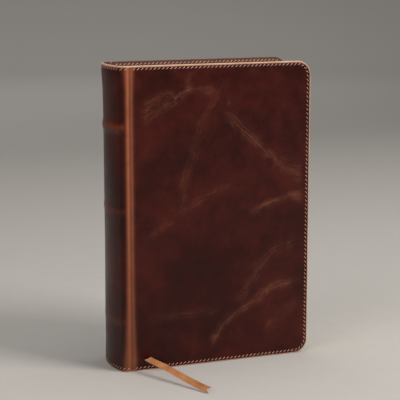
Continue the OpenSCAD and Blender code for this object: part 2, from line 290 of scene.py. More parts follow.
def ribbonPiece(name, knots, notch):
    # The ribbon's width carried along its line: across by u, along by v up to an end cut back in the
    # middle by the notch, half a thickness each side, with the faintest curl across.
    along, line = curveThrough([(*place, *across) for place, across in knots], ribbon["steps"])
    spine, across = line[:, :3], line[:, 3:]
    forward = np.gradient(spine, axis=0)
    forward /= np.linalg.norm(forward, axis=1, keepdims=True)
    across = across - np.einsum("ij,ij->i", across, forward)[:, None] * forward
    across /= np.linalg.norm(across, axis=1, keepdims=True)
    thick = np.cross(forward, across)
    u = np.linspace(-1, 1, ribbon["across"])
    v = np.linspace(0, 1, ribbon["steps"])
    reach = v[:, None] * (along[-1] - notch * (1 - np.abs(u))[None, :])
    carried = [np.stack([np.interp(reach, along, field[:, i]) for i in range(3)], -1)
               for field in (spine, across, thick)]
    curl = 0.16 * u[None, :, None] ** 2
    middle = carried[0] + carried[1] * (u * ribbon["width"] / 2)[None, :, None] + carried[2] * curl
    side = ribbon["thick"] / 2 * (1 - 0.6 * np.abs(u)[None, :, None] ** 8)
    points, faces = closedShell(middle + carried[2] * side, middle - carried[2] * side)
    lay = np.stack([reach, np.repeat(u[None, :] * ribbon["width"] / 2, len(v), 0), np.zeros(reach.shape)],
        -1).reshape(-1, 3)
    piece = makePiece(name, points, faces, satinRibbon, {"lay": np.concatenate([lay, lay])}, sharp=50)
    return piece, along[-1], spine


ribbonLow, ribbonHigh = boxOf("ribbon_marker")
ribbonX, ribbonY, pageZ = ribbon["route"][0][0][0], boxOf("gathering_01")[1][1] + 0.2, ribbonLow[2]
tailRoute = [((ribbonX, ribbonY, pageZ), (1, 0, 0)), ((ribbonX, ribbonY, pageZ - 0.4), (1, 0, 0))]
tailRoute += [((x, faceY + y, z), across) for (x, y, z), across in ribbon["route"]]
ribbonTail, ribbonLength, ribbonLine = ribbonPiece("ribbonTail", tailRoute, ribbon["notch"])
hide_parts("ribbon_tail")
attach(ribbonTail, "book")
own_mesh(ribbonTail)
print("ribbon tail done", round(ribbonLength, 1))


# Finishes.
look = {
    "leatherTones": [(0.3, "#220705"), (0.45, "#310a06"), (0.55, "#41100a"), (0.7, "#521a10")],
    "creaseTan": "#ab6c50",
    # pale stretched leather at the joint, also the painted highlights on its two ridges
    "jointTanAndHighlight": "#b4694a",
    # painted shade in the joint's groove
    "jointGrooveShade": "#4a1a0e",
    # burnished cut edge, paled to serve also as the painted highlight along the head
    "edgeTanAndHighlight": "#dcae92",
    # paler along the top of each raised band
    "bandTopTan": "#8a4022",
}


def millimetres(tree):  # the piece's own place in mm
    place = addNode(tree, "TexCoord", out="Object")
    return addNode(tree, "VectorMath", {0: place, "Scale": 1000.0}, operation="SCALE")


def pullUpLeather(name, paint):
    # Pull-up leather: oiled and waxed hide, milled smooth. It looks deep and uneven, goes pale tan where
    # it is folded or stretched, and has a soft waxed sheen over a fine grain of about a millimetre.
    finish, tree, shader = newFinish(name, {"Coat Weight": 0.05, "Coat Roughness": 0.22, "IOR": 1.45,
        "Specular IOR Level": 0.22})
    mm = millimetres(tree)
    cloud = noiseNode(tree, mm, 0.017, 3.0, 0.55, distortion=0.4)
    mottle = noiseNode(tree, mm, 0.085, 5.0, 0.62)
    grain = noiseNode(tree, mm, 1.1, 3.0, 0.6)
    pores = addNode(tree, "TexVoronoi", {"Vector": mm, "Scale": 1.0, "Randomness": 1.0}, feature="F1")
    half = mathNode(tree, "MULTIPLY", cloud, 0.55)
    most = mathNode(tree, "MULTIPLY_ADD", mottle, 0.33, half)
    tone = mathNode(tree, "MULTIPLY_ADD", grain, 0.12, most)
    hide = addNode(tree, "ValToRGB", {"Fac": tone}, stops=paint["leatherTones"])

    creaseMap = addNode(tree, "Attribute", attribute_name="crease", out="Vector")
    along, across, strength = (addNode(tree, "SeparateXYZ", {0: creaseMap}, out=i) for i in range(3))
    wander = noiseNode(tree, mm, 0.07, 2.0, 0.5)
    shifted = mathNode(tree, "MULTIPLY_ADD", wander, 4.0, across)
    offset = mathNode(tree, "SUBTRACT", shifted, 2.0)
    slow = mathNode(tree, "MULTIPLY", along, 0.03)
    spread = mathNode(tree, "MULTIPLY", offset, 0.6)
    threadPlace = addNode(tree, "CombineXYZ", {0: slow, 1: spread, 2: 0.0})
    threads = noiseNode(tree, threadPlace, 1.0, 3.0, 0.65)
    centred = mathNode(tree, "SUBTRACT", threads, 0.5)
    folded = mathNode(tree, "ABSOLUTE", centred)
    lines = rangeNode(tree, folded, (0.01, 0.06), (1.0, 0.0))
    away = mathNode(tree, "ABSOLUTE", offset)
    core = rangeNode(tree, away, (0.1, 0.5), (0.35, 0.0))
    broken = rangeNode(tree, mottle, (0.4, 0.58), (0.2, 1.0))
    both = mathNode(tree, "MAXIMUM", lines, core)
    patchy = mathNode(tree, "MULTIPLY", both, broken)
    crease = mathNode(tree, "MULTIPLY", patchy, strength, clamp=True)
    glow = mathNode(tree, "MULTIPLY", strength, 0.05)
    pale = mathNode(tree, "MULTIPLY_ADD", crease, 0.42, glow, clamp=True)
    hide = mixNode(tree, pale, hide, asLinear(paint["creaseTan"]))

    # Mixed over the hide: tan along the top of each band, pale stretched leather with painted highlights on
    # the joint's ridges, painted shade in its groove, and the tan cut edge with a painted highlight along
    # the head.
    for field, colour in (("bandTopPale", "bandTopTan"), ("jointStretchAndHighlight", "jointTanAndHighlight"), ("jointGrooveShade", "jointGrooveShade"),
        ("edgeWearAndHighlight", "edgeTanAndHighlight")):
        amount = addNode(tree, "Attribute", attribute_name=field, out="Fac")
        rubbed = rangeNode(tree, mottle, (0.3, 0.7), (0.8, 1.12))
        share = mathNode(tree, "MULTIPLY", amount, rubbed, clamp=True)
        hide = mixNode(tree, share, hide, asLinear(paint[colour]))
    polish = rangeNode(tree, mottle, (0.3, 0.7), (0.3, 0.42))
    rough = mathNode(tree, "MULTIPLY_ADD", crease, 0.12, polish)
    tree.links.new(rough, shader.inputs["Roughness"])
    low = mathNode(tree, "MULTIPLY", mottle, 0.35)
    poreHeight = mathNode(tree, "MULTIPLY_ADD", pores, -0.035, low)
    grainHeight = mathNode(tree, "MULTIPLY_ADD", grain, 0.05, poreHeight)
    height = mathNode(tree, "MULTIPLY_ADD", crease, 0.09, grainHeight)
    dress(tree, shader, hide, height, 0.001, 0.9)
    return finish


def simpleFinish(name, tones, scale, stretch, fixed, roughness, depth, detail=4.0):
    # Two-scale noise in mm between the given tones, with a bump as deep as depth in mm; stretch squeezes
    # the pattern along the axes, for fibres, leaves of paper and plied threads.
    finish, tree, shader = newFinish(name, dict(fixed, Roughness=roughness))
    mm = millimetres(tree)
    drawn = addNode(tree, "VectorMath", {0: mm, 1: stretch}, operation="MULTIPLY")
    fine = noiseNode(tree, drawn, scale, detail, 0.6)
    broad = noiseNode(tree, mm, 0.06, 2.0)
    most = mathNode(tree, "MULTIPLY", fine, 0.65)
    tone = mathNode(tree, "MULTIPLY_ADD", broad, 0.35, most)
    colour = addNode(tree, "ValToRGB", {"Fac": tone}, stops=tones)
    height = mathNode(tree, "MULTIPLY", fine, depth)
    dress(tree, shader, colour, height, 0.001, 1.0)
    return finish


coverLeather = pullUpLeather("pull-up leather", look)


# The section of the cover, and the relief of the hide.

def wrapSection(travel, depth):
    # Point and outward normal of the closed cover, depth mm below its outside, at a travel in mm from the
    # front groove: straight along the cover, then minus round the spine, a shoulder arc, the wide arc,
    # and mirrored.
    t = np.asarray(travel, float)
    mirrored = t < -halfWrap
    t = np.where(mirrored, -2 * halfWrap - t, t)
    turned = np.clip((-wrap["shoulderLead"] - t) / shoulderR, 0, math.pi / 2 - arcHalf)
    swung = np.clip((-wrap["shoulderLead"] - shoulderArc - t) / spineR, 0, arcHalf)
    angle = turned + swung
    nx, ny = -np.sin(angle), -np.cos(angle)
    x = np.where(swung > 0, arcX + (spineR - depth) * nx, shoulderX + (shoulderR - depth) * nx)
    y = np.where(swung > 0, (spineR - depth) * ny, faceY + shoulderR + (shoulderR - depth) * ny)
    straight = turned <= 0
    x, y = np.where(straight, grooveX + t, x), np.where(straight, faceY + depth, y)
    return x, np.where(mirrored, -y, y), nx, np.where(mirrored, -ny, ny)


def foldTravel(travel):  # the travel, with the back half mirrored on to the front half
    return np.where(travel < -halfWrap, -2 * halfWrap - travel, travel)


def rimDistance(travel, z):
    # Distance to the nearest cut edge: head, tail, or the fore edge with its round corners.
    t = foldTravel(travel)
    past = t - (coverTravel - roundR)
    beyond = np.abs(z - bookH / 2) - (bookH / 2 - roundR)
    flat = np.minimum(coverTravel - t, bookH / 2 - np.abs(z - bookH / 2))
    return np.where((past > 0) & (beyond > 0), roundR - np.hypot(past, beyond), flat)


bandNodes = {"upper_band": 0.8, "middle_band": 0.3, "lower_band": 0.26}  # how far each one has stayed proud
bandZ = {node: sum(boxOf(node))[2] / 2 for node in bandNodes}
relief = {
    "bandHeight": 0.95, "bandWidth": 3.1,
    "headFlare": 1.5, "tailFlare": 0.75,  # the cap of the spine stands out where hands and shelves work it
    "grooveAt": -0.5, "grooveDepth": 0.32, "grooveWidth": 1.1,
    "rimPinch": 0.28, "channelDepth": 0.16, "stitchInset": 2.4,
    "swell": 0.22,  # slow unevenness of the glued hide
    "coverRidge": 0.3, "spineRidge": 0.45,  # the soft ridges each side of the joint groove
}


def hideRelief(travel, z, seed):
    # Height in mm above the plain section: the groove between two soft ridges, the raised bands, the flared
    # caps, the seam's pinch and channel, the rounded rim, and a slow swell made of a few sine waves.
    t = foldTravel(travel)
    rim = rimDistance(travel, z)
    onSpine = ease(-3.5, -8.0, t)
    height = -relief["grooveDepth"] * bell(t, relief["grooveAt"], relief["grooveWidth"]) * ease(-1, 9, rim)
    height = height + relief["coverRidge"] * bell(t, 2.0, 1.3) + relief["spineRidge"] * bell(t, -3.3, 1.9)
    for node, proud in bandNodes.items():
        shape = np.exp(-(np.abs(z - bandZ[node]) / relief["bandWidth"]) ** 2.6)
        height = height + relief["bandHeight"] * proud * shape * onSpine
    head, tail = bookH - z, z
    height = height + onSpine * (relief["headFlare"] * np.exp(-(head / 13) ** 1.5)
                                 + relief["tailFlare"] * np.exp(-(tail / 11) ** 1.5))
    height = height - relief["rimPinch"] * (1 - ease(2.8, 7.5, rim))
    height = height - relief["channelDepth"] * bell(rim, relief["stitchInset"], 0.6)
    near = np.clip(wrap["rimR"] - rim, 0, wrap["rimR"])
    height = height - (wrap["rimR"] - np.sqrt(wrap["rimR"] ** 2 - near ** 2))
    phase = seed * 1.7
    swell = (np.sin(travel / 17 + z / 31 + phase) + np.sin(travel / 29 - z / 13 + 2 * phase)
             + 0.6 * np.sin(travel / 9 + z / 19 + 3 * phase)) / 2.6
    return height + relief["swell"] * swell * ease(3, 18, rim) * ease(2, 14, np.abs(t))


def hidePoint(travel, z, seed, inside=None):  # a point on the hide's outside, or inside at a depth in mm
    if inside is None:
        x, y, nx, ny = wrapSection(travel, 0)
        height = hideRelief(travel, z, seed)
    else:
        x, y, nx, ny = wrapSection(travel, inside)
        height = np.maximum(hideRelief(travel, z, seed), -0.4) * ease(-2.0, -7.0, foldTravel(travel))
    return np.stack([x + nx * height, y + ny * height, z], -1)


creases = {  # pale folds of the hide as travel and height in mm, then strength and reach
    "front": [
        ([(7, 198), (21, 203), (37, 208)], 0.45, 3.2),
        ([(7, 193), (23, 200), (38, 207)], 0.5, 3.2),
        ([(7, 188), (21, 196), (37, 204)], 0.5, 3.2),
        ([(16, 192), (29, 200), (38, 207), (51, 213)], 0.8, 3.4),
        ([(8, 185), (21, 193), (32, 202)], 0.4, 3),
        ([(38, 209), (51, 211), (63, 208), (70, 205)], 0.35, 3.2),
        ([(48, 224), (43, 213), (38, 207)], 0.25, 4),
        ([(72, 222), (70, 211), (66, 200), (57, 190), (54, 180), (51, 168),
          (46, 157), (41, 144), (40, 129), (39, 106)], 0.34, 3.2),
        ([(78, 206), (76, 194)], 0.3, 2.4),
        ([(67, 194), (78, 188), (86, 179), (96, 171), (107, 161),
          (117, 150), (128, 143), (142, 137)], 0.7, 2.8),
        ([(117, 148), (139, 145)], 0.5, 3.4),
        ([(112, 153), (133, 143), (141, 134)], 0.55, 4.4),
        ([(85, 141), (70, 134), (57, 129), (48, 124), (36, 117), (21, 107), (6, 95)], 0.34, 2.6),
        ([(91, 113), (104, 119), (118, 123), (129, 126), (142, 127)], 0.7, 2.2),
        ([(118, 123), (130, 123), (140, 123)], 0.45, 2.6),
        ([(143, 95), (130, 90), (113, 82), (105, 75), (97, 64), (90, 52), (83, 40)], 0.4, 3.6),
        ([(59, 7), (64, 17), (72, 29), (80, 36), (90, 41), (100, 47),
          (107, 52), (117, 57), (130, 57), (142, 60)], 0.75, 2.6),
        ([(90, 41), (103, 44), (107, 51)], 0.4, 2.6),
        ([(107, 17), (110, 23), (120, 34), (139, 43)], 0.34, 3.4),
        ([(8, 40), (35, 40), (57, 40), (74, 45)], 0.28, 2.6),
    ],
    "back": [
        ([(8, 40), (30, 52), (58, 58), (84, 52)], 0.7, 3.0), ([(12, 30), (34, 41), (60, 44)], 0.5, 3.2),
        ([(30, 170), (56, 158), (80, 160), (112, 142), (145, 138)], 0.6, 3.0),
        ([(70, 222), (76, 196), (92, 176), (96, 150), (88, 122)], 0.4, 3.2),
        ([(90, 100), (112, 88), (128, 84), (146, 70)], 0.8, 2.6),
        ([(64, 8), (80, 26), (104, 34), (130, 28)], 0.5, 3.0),
        ([(10, 120), (36, 112), (60, 118)], 0.35, 3.0),
    ],
    "spine": [
        ([(-46, 184.5), (-30, 185.5), (-16, 185), (-5, 183)], 0.55, 1.6),
        ([(-18, 180), (-10, 179.5), (-4, 181)], 0.35, 1.5),
        ([(-38, 121), (-22, 122), (-8, 120)], 0.34, 1.5), ([(-34, 35), (-20, 37), (-7, 34)], 0.36, 1.6),
        ([(-28, 70), (-18, 66), (-9, 68)], 0.2, 1.6), ([(-26, 208), (-15, 212), (-8, 209)], 0.25, 2.0),
    ],
}


def smoothLine(corners, rounds=3):  # Chaikin's corner cutting
    line = np.array(corners, float)
    for _ in range(rounds):
        cut = np.stack([0.75 * line[:-1] + 0.25 * line[1:], 0.25 * line[:-1] + 0.75 * line[1:]],
            1).reshape(-1, 2)
        line = np.concatenate([line[:1], cut, line[-1:]])
    return line


def creaseField(travel, z, folds):
    # For each point, the nearest fold's own coordinates: distance along it, signed distance across it,
    # and a strength that fades with reach and towards the fold's ends.
    best = np.full(travel.shape, 1e9)
    along, across, strength = (np.zeros(travel.shape) for _ in range(3))
    for number, (corners, power, reach) in enumerate(folds):
        line = smoothLine(corners)
        steps = np.hypot(*np.diff(line, axis=0).T)
        done, whole = 0.0, steps.sum()
        for a, b, length in zip(line[:-1], line[1:], steps):
            d = (b - a) / length
            s = np.clip((travel - a[0]) * d[0] + (z - a[1]) * d[1], 0, length)
            gapX, gapZ = travel - a[0] - s * d[0], z - a[1] - s * d[1]
            distance = np.hypot(gapX, gapZ)
            closer = distance / reach / power < best
            share = (done + s) / whole
            side = np.sign(d[0] * gapZ - d[1] * gapX)
            ends = ease(0, 0.22, share) * ease(1.0, 0.8, share)
            best = np.where(closer, distance / reach / power, best)
            along = np.where(closer, done + s + 97 * number, along)
            across = np.where(closer, distance * side, across)
            strength = np.where(closer, power * ends * np.exp(-(distance / reach / 1.15) ** 2), strength)
            done += length
    return np.stack([along, across, strength], -1)


def hideFields(travel, z, folds):
    # Colour fields of the hide at each point: pale stretched leather with painted highlights over the
    # joint's two ridges and painted shade in its groove, wider towards the tail; tan at the cut edge with a
    # painted highlight along the head; paler along the top of each band.
    t = foldTravel(travel)
    rim = rimDistance(travel, z)
    tail = np.exp(-(z / 30) ** 1.3)
    head = np.exp(-((bookH - z) / 12) ** 1.3)
    left = 1.5 + 2.4 * tail + 0.8 * head
    right = 0.9 + 1.2 * tail + 0.6 * head
    # Pale stretched leather, with painted highlights on the two ridges each side of the groove.
    ridge = np.where(t < relief["grooveAt"], bell(t, -2.3 - 1.0 * tail, left),
        0.7 * bell(t, 0.7 + 0.5 * tail, right))
    span = np.exp(-(np.abs(t + 0.9) / (2.8 + 2.4 * tail + 0.8 * head)) ** 3)
    joint = np.clip(0.36 * span + 0.46 * ridge, 0, 1) * (0.72 + 0.28 * ease(20, 190, z))
    # Painted shade along the bottom of the joint's groove.
    dark = 0.25 * bell(t, relief["grooveAt"], 0.6)
    # Tan burnished cut edge, widened along the head into a painted highlight where the rolled edge meets the
    # top light.
    atHead = ease(bookH - 3, bookH - 1, z)
    edge = 1 - ease(0.35 + 0.3 * atHead, 1.1 + 0.5 * atHead, rim)
    # Paler along the upper side of each raised band, set 1 mm above its middle.
    band = np.zeros(t.shape)
    for node, proud in bandNodes.items():
        top = bell(z, bandZ[node] + 1.0, 2.1)
        band = band + 0.75 * proud * top * ease(-3.0, -6.0, t)
    return {
        "crease": creaseField(travel, z, folds).reshape(-1, 3), "jointStretchAndHighlight": joint.ravel(),
        "jointGrooveShade": dark.ravel(),
        "edgeWearAndHighlight": edge.ravel(), "bandTopPale": band.ravel(),
    }


nearRim = np.array([0, 0.14, 0.34, 0.6, 0.95, 1.4, 1.8, 2.1, 2.4, 2.7, 3.1, 3.7, 4.6, 5.8, 7.3, 9.0])


def rimSpaced(length, step):  # distances along a side, close together near both cut edges
    last = nearRim[-1]
    middle = np.linspace(last, length - last, int((length - 2 * last) / step) + 2)[1:-1]
    return np.concatenate([nearRim, middle, length - nearRim[::-1]])


rowsUp = rimSpaced(bookH, 1.55) / bookH


def hideGrid(travels):
    # Travel and height over a piece of the hide, with the rows pulled in round the corners.
    past = np.clip(travels - (coverTravel - roundR), 0, roundR)
    trim = roundR - np.sqrt(roundR ** 2 - past ** 2)
    z = trim[:, None] + (bookH - 2 * trim)[:, None] * rowsUp[None, :]
    return np.repeat(travels[:, None], len(rowsUp), 1), z


def coverTravels(start):  # close together over the joint and at the fore edge
    fore = coverTravel - np.concatenate([nearRim[:0:-1], [0.04, 0]])
    joint = np.arange(start, 5.0, 0.42)
    middle = np.linspace(5.4, fore[0], int((fore[0] - 5.4) / 1.45))[:-1]
    return np.concatenate([joint, middle, fore])


def skinPiece(name, travels, seed, folds, mirrored=False):
    travel, z = hideGrid(travels)
    outer = hidePoint(travel, z, seed)
    inner = hidePoint(travel, z, seed, inside=leatherT)
    if mirrored:
        outer, inner = (grid * (1, -1, 1) for grid in (outer, inner))
    points, faces = closedShell(outer, inner)
    fields = hideFields(travel, z, folds)
    inside = {key: values + 0.6 if key == "edgeWearAndHighlight" else values * 0.0 for key, values in fields.items()}
    both = {key: np.concatenate([values, inside[key]]) for key, values in fields.items()}
    return makePiece(name, points, faces, coverLeather, both)


splitAt = relief["grooveAt"]
frontHide = skinPiece("frontHide", coverTravels(splitAt), 1.0, creases["front"])
backHide = skinPiece("backHide", coverTravels(splitAt), 4.0, creases["back"], mirrored=True)
halfTravels = np.concatenate([np.linspace(-halfWrap, -11.0, 26)[:-1],
    np.arange(-11.0, splitAt - 0.2, 0.42), [splitAt]])
spineTravels = np.concatenate([-2 * halfWrap - halfTravels[::-1], halfTravels[1:]])
spineHide = skinPiece("spineHide", spineTravels, 2.0, creases["spine"])
for piece, side, body in ((frontHide, "front", "front_cover"), (backHide, "back", "back_cover")):
    y = (faceY if side == "front" else -faceY) / 1000
    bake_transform(piece)
    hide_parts(f"{side}_cover_leather", f"{side}_joint_leather")
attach(spineHide, "book")
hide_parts("spine_leather")
print("hide done", len(frontHide.data.polygons), len(spineHide.data.polygons))


# Seams: one row of separate slanted stitches, pulled down into their holes.
seam = {"pitch": 3.2, "length": 3.2, "width": 0.55, "lift": 0.26, "sink": 0.5, "slant": 37.0,
        "feel": 0.4}  # how far ahead the direction is felt for

# Waxed cream thread, two plies twisted: a soft shine broken by fine diagonal plies.
seamThread = simpleFinish("waxed linen thread", [(0.3, "#a3725a"), (0.5, "#c79681"), (0.7, "#ddb7a2")], 3.2,
                          (1.0, 1.0, 1.0), {"Sheen Weight": 0.2}, 0.55, 0.12)


def stitchShape(rings=6, sides=6):
    # A stitch of unit length: round across, its half width sqrt(1 - u squared), arched up in the middle by
    # 1 - u squared and pulled under at its ends by u to the fourth.
    u = np.cos(np.linspace(math.pi, 0, rings + 2))[1:-1]
    turn = np.linspace(0, 2 * math.pi, sides, endpoint=False)
    wide = (1 - u ** 4) ** 0.5
    x = np.repeat(u[:, None] / 2, sides, 1)
    y = wide[:, None] * np.cos(turn)[None, :] / 2
    bend = (1 - u ** 2)[:, None] * seam["lift"] - (u ** 4)[:, None] * seam["sink"]
    z = bend + wide[:, None] * np.sin(turn)[None, :] * 0.3
    body = np.stack([x, y, z], -1).reshape(-1, 3)
    points = np.concatenate([body, [[-0.5, 0, -seam["sink"]], [0.5, 0, -seam["sink"]]]])
    k = np.arange(sides)
    start = np.stack([np.full(sides, rings * sides), (k + 1) % sides, k], -1)
    last = (rings - 1) * sides
    end = np.stack([np.full(sides, rings * sides + 1), last + k, last + (k + 1) % sides], -1)
    return points, *outwards(points, [gridFaces(rings, sides, wrapColumns=True),
        np.concatenate([start, end])])


def seamPath(fromTravel, toTravel, inset, closedFore):
    # Travel and height of the seam line, inset from the cut edge: along the tail, round the fore edge
    # with its corners, and back along the head; or two straight rows across the spine.
    if not closedFore:
        return [np.array([[fromTravel, z], [toTravel, z]]) for z in (inset, bookH - inset)]
    r = roundR - inset
    a = np.linspace(-math.pi / 2, 0, 12)
    cx, cz = coverTravel - roundR, roundR
    low = np.stack([cx + r * np.cos(a), cz + r * np.sin(a)], -1)
    high = np.stack([low[::-1, 0], bookH - low[::-1, 1]], -1)
    return [np.concatenate([[[fromTravel, inset]], low, high, [[fromTravel, bookH - inset]]])]


def stitchRow(path, placeOn):
    # Stitches at an even pitch along the path, each turned by the slant about the surface's normal.
    steps = np.concatenate([[0], np.cumsum(np.hypot(*np.diff(path, axis=0).T))])
    count = int(steps[-1] / seam["pitch"])
    at = (np.arange(count) + 0.5) * steps[-1] / count
    travel, z = np.interp(at, steps, path[:, 0]), np.interp(at, steps, path[:, 1])
    d = seam["feel"]
    ahead = [np.interp(at + d, steps, path[:, i]) - np.interp(at - d, steps, path[:, i]) for i in (0, 1)]
    size = np.hypot(*ahead)
    t0, t1 = ahead[0] / size * d, ahead[1] / size * d
    spot = placeOn(travel, z)
    forward = placeOn(travel + t0, z + t1) - spot
    aside = placeOn(travel - t1, z + t0) - spot
    forward /= np.linalg.norm(forward, axis=-1, keepdims=True)
    up = np.cross(forward, aside)
    up /= np.linalg.norm(up, axis=-1, keepdims=True)
    return spot, forward, up


def seamPiece(name, paths, placeOn, outward, slant):
    base, quads, fans = stitchShape()
    allPoints, allQuads, allFans, first = [], [], [], 0
    for path in paths:
        spot, forward, up = stitchRow(path, placeOn)
        flip = np.sign(np.einsum("ij,ij->i", up, outward(spot)))[:, None]
        up = up * flip
        aside = np.cross(up, forward)
        lean = math.radians(slant)
        alongIt = forward * math.cos(lean) + aside * math.sin(lean)
        acrossIt = np.cross(up, alongIt)
        points = (spot[:, None] + base[None, :, :1] * seam["length"] * alongIt[:, None]
                  + base[None, :, 1:2] * seam["width"] * acrossIt[:, None] + base[None, :, 2:] * up[:, None])
        offsets = first + np.arange(len(spot))[:, None, None] * len(base)
        allPoints.append(points.reshape(-1, 3))
        allQuads.append((quads[None] + offsets).reshape(-1, 4))
        allFans.append((fans[None] + offsets).reshape(-1, 3))
        first += len(spot) * len(base)
    return makePiece(name, np.concatenate(allPoints), [np.concatenate(allQuads), np.concatenate(allFans)],
                     seamThread, sharp=70)


def outwardOf(side):
    return lambda spot: np.stack([np.where(spot[:, 0] < grooveX - 2, spot[:, 0] - arcX, 0),
                                  np.where(spot[:, 0] < grooveX - 2, spot[:, 1], side),
                                  np.zeros(len(spot))], -1)


inset = relief["stitchInset"]
coverPaths = seamPath(1.4, 0, inset, True)
frontSeam = seamPiece("frontSeam", coverPaths, lambda t, z: hidePoint(t, z, 1.0), outwardOf(-1),
    seam["slant"])
backSeam = seamPiece("backSeam", coverPaths, lambda t, z: hidePoint(t, z, 4.0) * (1, -1, 1), outwardOf(1),
    -seam["slant"])
spinePaths = seamPath(-2 * halfWrap + 1.6, -1.6, inset, False)
spineSeam = seamPiece("spineSeam", spinePaths, lambda t, z: hidePoint(t, z, 2.0), outwardOf(-1),
    seam["slant"])
for piece, side, body in ((frontSeam, "front", "front_cover"), (backSeam, "back", "back_cover")):
    y = (faceY if side == "front" else -faceY) / 1000
    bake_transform(piece)
    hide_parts(f"{side}_stitching")
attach(spineSeam, "book")
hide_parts("spine_stitching")
print("seams done")


# Linings: leather turned up to the hide at the rim, and stepped down over the board.
# Painted shade: the lining's tones are darkened to stand for the shade between the covers.
liningShadeTones = [(0.32, "#3f2116"), (0.5, "#522c1d"), (0.7, "#653a27")]
# Lining leather: thin vegetable-tanned skiver, matt tan with a faint nap and darker hair grain; its tan is
# painted dark brown as painted shade inside the covers.
liningLeatherShaded = simpleFinish("shade-darkened skiver lining", liningShadeTones, 0.9, (1.0, 1.0, 1.0), {"Sheen Weight": 0.12},
    0.72, 0.06)
lining = {"ramp": (4.6, 7.4), "rimR": 0.3, "spineCard": 0.6}
boardLow, boardHigh = boxOf("front_board")
boardT = boardHigh[1] - boardLow[1]
liningT = liningHigh[1] - liningLow[1] - boardT


def liningPiece(name, travels, stepT, mirrored=False, rides="book", replaced=()):
    # Depth below the hide's outside: the leather's thickness at the rim, eased down by the board or card.
    travel, z = hideGrid(travels)
    rim = rimDistance(travel, z)
    step = stepT * ease(*lining["ramp"], rim)
    trim = lining["rimR"] - np.sqrt(lining["rimR"] ** 2
        - np.clip(lining["rimR"] - rim, 0, lining["rimR"]) ** 2)
    grids = []
    for depth in (leatherT + 0.02 + step, leatherT + liningT + step - trim):
        x, y, nx, ny = wrapSection(travel, depth)
        grids.append(np.stack([x, -y if mirrored else y, z], -1))
    points, faces = closedShell(grids[0], grids[1])
    piece = makePiece(name, points, faces, liningLeatherShaded)
    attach(piece, rides)
    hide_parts(*replaced)


liningStart = liningLow[0] - grooveX
liningTravels = np.concatenate([[liningStart], coverTravels(liningStart + 0.3)[1:]])
liningTravels = liningTravels[np.concatenate([[True], np.diff(liningTravels) > 0])]
liningPiece("frontLining", liningTravels, boardT, False, "front_cover", ["front_lining"])
liningPiece("backLining", liningTravels, boardT, True, "back_cover", ["back_lining"])
spineLiningEnd = boxOf("spine_lining")[1][0] - grooveX
spineLiningTravels = np.linspace(-2 * halfWrap - spineLiningEnd, spineLiningEnd, 61)
liningPiece("spineLining", spineLiningTravels, lining["spineCard"], False, "book", ["spine_lining"])
insidePaths = seamPath(max(liningStart, 1.2) + 1.0, 0, inset, True)


def insidePoint(mirrored):
    def place(travel, z):
        x, y, nx, ny = wrapSection(travel, leatherT + liningT)
        return np.stack([x, -y if mirrored else y, z], -1)
    return place


frontInnerSeam = seamPiece("frontInnerSeam", insidePaths, insidePoint(False), outwardOf(1), -seam["slant"])
backInnerSeam = seamPiece("backInnerSeam", insidePaths, insidePoint(True), outwardOf(-1), seam["slant"])
for piece, body in ((frontInnerSeam, "front_cover"), (backInnerSeam, "back_cover")):
    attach(piece, body)
print("linings done")


# The block: sixteen gatherings, each with its own fold, rounded corners and cut edges.

def paperFinish(name, tones, leafT):
    # Thin uncoated paper in a cut block: cream, matt, with fine light and dark leaf lines along the cut
    # edges. A leaf is some 0.06 mm, too fine to show, so the lines are drawn leafT mm apart.
    finish, tree, shader = newFinish(name, {"Roughness": 0.82, "IOR": 1.45})
    mm = millimetres(tree)
    drawn = addNode(tree, "VectorMath", {0: mm, 1: (0.02, 1 / leafT, 0.012)}, operation="MULTIPLY")
    leaves = noiseNode(tree, drawn, 1.0, 2.0, 0.7)
    broad = noiseNode(tree, mm, 0.05, 3.0)
    fibre = noiseNode(tree, mm, 2.2, 4.0)
    most = mathNode(tree, "MULTIPLY", leaves, 0.6)
    tone = mathNode(tree, "MULTIPLY_ADD", broad, 0.14, most)
    tone = mathNode(tree, "MULTIPLY_ADD", fibre, 0.26, tone)
    colour = addNode(tree, "ValToRGB", {"Fac": tone}, stops=tones)
    lineHeight = mathNode(tree, "MULTIPLY", leaves, 0.12)
    height = mathNode(tree, "MULTIPLY_ADD", fibre, 0.02, lineHeight)
    dress(tree, shader, colour, height, 0.001, 0.8)
    return finish


pagePaper = paperFinish("thin book paper", [(0.3, "#d9ccae"), (0.46, "#ede1c6"), (0.66, "#f6edd8")], 0.34)
block = {"cornerR": 9.0, "foldR": 1.1, "cutR": 0.14, "rows": 7, "gap": 0.03, "wave": 0.12}


def leafOutline(low, high, cornerR):
    # Outline in x and z with its outward direction: square at the fold, round at the two fore corners.
    a = np.linspace(-math.pi / 2, 0, 11)
    arcX, arcZ = high[0] - cornerR + cornerR * np.cos(a), low[2] + cornerR + cornerR * np.sin(a)
    tail = np.stack([np.linspace(low[0], high[0] - cornerR, 12)[:-1], np.full(11, low[2])], -1)
    fore = np.stack([np.full(14, high[0]), np.linspace(low[2] + cornerR, high[2] - cornerR, 16)[1:-1]], -1)
    lower = np.stack([arcX, arcZ], -1)
    upper = np.stack([arcX[::-1], low[2] + high[2] - arcZ[::-1]], -1)
    head = np.stack([tail[::-1, 0], np.full(11, high[2])], -1)
    fold = np.stack([np.full(14, low[0]), np.linspace(high[2], low[2], 16)[1:-1]], -1)
    line = np.concatenate([tail, lower, fore, upper, head, fold])
    ahead = np.roll(line, -1, 0) - np.roll(line, 1, 0)
    normal = np.stack([ahead[:, 1], -ahead[:, 0]], -1) / np.hypot(*ahead.T)[:, None]
    return line, normal


